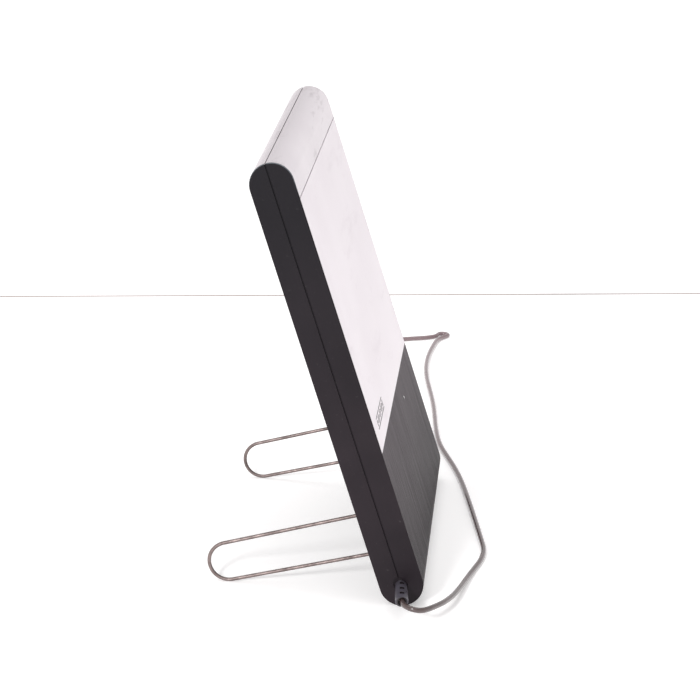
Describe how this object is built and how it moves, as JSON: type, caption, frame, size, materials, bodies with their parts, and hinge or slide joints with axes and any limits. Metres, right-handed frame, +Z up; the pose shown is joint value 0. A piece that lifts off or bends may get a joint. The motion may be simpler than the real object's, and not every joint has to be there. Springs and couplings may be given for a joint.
{
  "type": "indoor television antenna",
  "caption": "Flat rectangular panel antenna with rounded top and bottom edges, leaning back on swing-out wire legs, with a thin lead, a small coil and a screw-on plug.",
  "frame": {"origin": "on the surface the antenna stands on, at the middle of its footprint of round lower edge and leg tips", "axes": "+Z up, +X along the panel's width, -Y towards the front"},
  "size_m": [0.6386, 0.1748, 0.277],
  "materials": {
    "black_case": "fine satin moulded texture",
    "silver_skin": "pale satin silver",
    "dark_fascia": "fine vertical brushed texture",
    "dark_print": "printed",
    "clear_window": "clear, smooth",
    "lamp_body": "diffused epoxy",
    "zinc_steel": "zinc plated",
    "leg_wire": "plated drawn wire",
    "element_wire": "drawn wire",
    "element_sheet": "stamped sheet",
    "board": "solder resist",
    "tinned_steel": "tinned",
    "ferrite": "sintered",
    "capacitor_sleeve": "shrink sleeve",
    "boot_rubber": "moulded",
    "cord_jacket": "extruded jacket",
    "tie_plastic": "moulded",
    "plug_nickel": "nickel plated",
    "plug_pin": "copper conductor"
  },
  "bodies": {
    "case": {"rear_shell": "black_case", "front_shell": "black_case", "front_plate": "silver_skin", "top_cap_front": "silver_skin", "top_cap_rear": "silver_skin", "lower_fascia": "dark_fascia", "front_mark": "dark_print", "lamp_window": "clear_window", "lamp": "lamp_body", "case_screws": "zinc_steel", "wire_loop": "element_wire", "sheet_element": "element_sheet", "element_screws": "zinc_steel", "circuit_board": "board", "board_screws": "zinc_steel", "shield_can": "tinned_steel", "balun_cores": "ferrite", "board_capacitors": "capacitor_sleeve", "lead_socket": "tinned_steel", "cord_boot": "boot_rubber", "inner_lead": "cord_jacket", "lead_clamp": "zinc_steel", "clamp_screws": "zinc_steel", "coax_cord": "cord_jacket", "cord_coil": "cord_jacket", "coil_tie": "tie_plastic", "cord_tail": "cord_jacket", "plug_body": "plug_nickel", "plug_pin": "plug_pin"},
    "left_leg": {"left_leg": "leg_wire"},
    "right_leg": {"right_leg": "leg_wire"},
    "plug_nut": {"plug_nut": "plug_nickel"}
  },
  "joints": [
    {"name": "left_leg_swing", "type": "hinge", "parent": "case", "child": "left_leg", "pos_m": [-0.0982, -0.0364, 0.03896], "axis": [0, -0.3322, -0.9432], "range_deg": [0, 90]},
    {"name": "right_leg_swing", "type": "hinge", "parent": "case", "child": "right_leg", "pos_m": [0.0982, -0.03385, 0.03806], "axis": [0, 0.3322, 0.9432], "range_deg": [0, 90]},
    {"name": "plug_nut_spin", "type": "hinge", "parent": "case", "child": "plug_nut", "pos_m": [0.24722, -0.03458, 0.0065], "axis": [0.9135, 0.4067, 0], "continuous": true}
  ]
}
